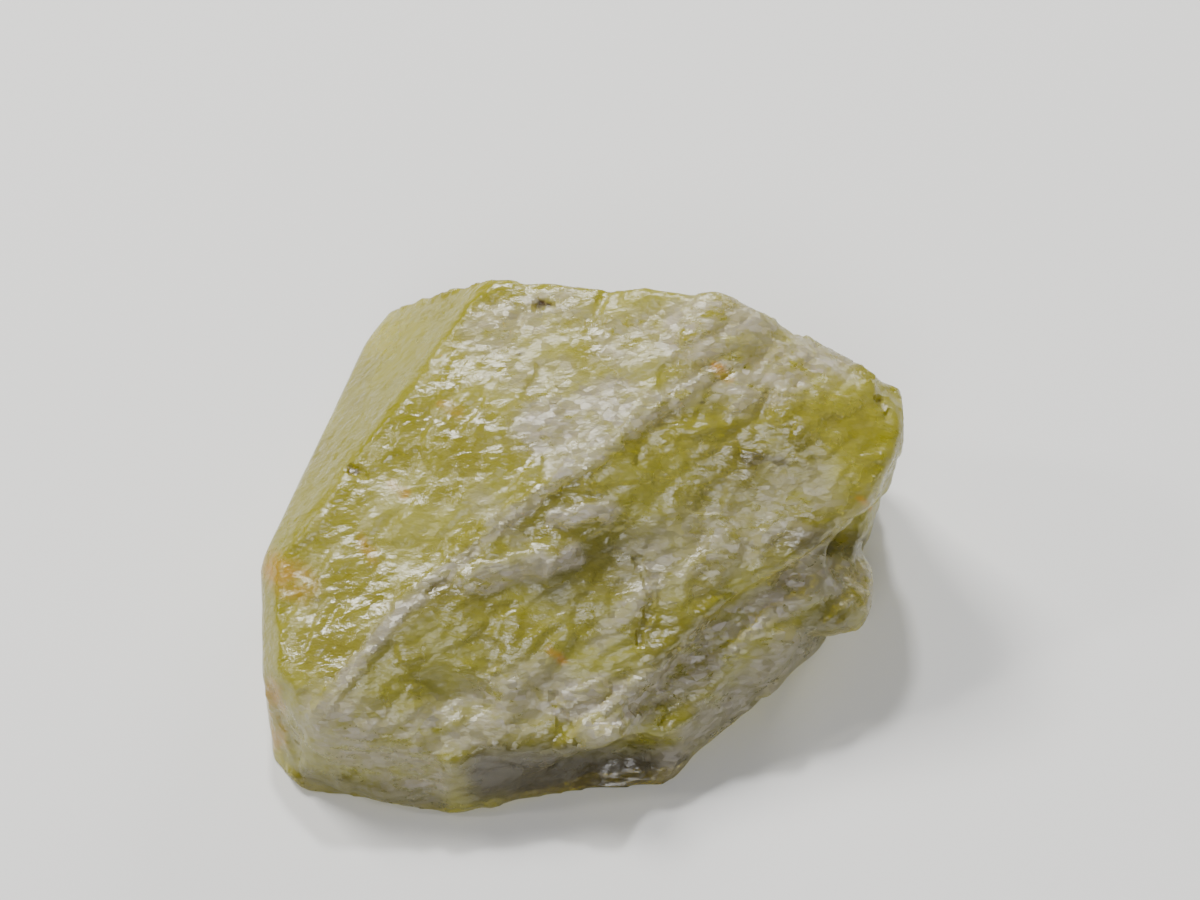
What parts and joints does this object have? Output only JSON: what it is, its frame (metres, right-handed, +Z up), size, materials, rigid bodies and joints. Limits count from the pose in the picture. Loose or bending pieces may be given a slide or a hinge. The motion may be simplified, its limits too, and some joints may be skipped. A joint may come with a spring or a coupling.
{
  "type": "raw rhodizite crystal",
  "caption": "Small broken piece of translucent yellow-green crystal, with smooth growth faces on one side, rough stepped breaks on the other, and a flat base to rest on.",
  "frame": {"origin": "centre of the bounding box's bottom face, on the surface that the crystal rests on", "axes": "+X along the crystal's length, +Y towards its back, +Z up from the flat base"},
  "size_m": [0.0142, 0.0114, 0.0079],
  "materials": {
    "crystal": "translucent yellow-green crystal, glassy on growth faces and frosted on breaks"
  },
  "bodies": {
    "root": {"rhodizite_crystal": "crystal"}
  },
  "joints": []
}
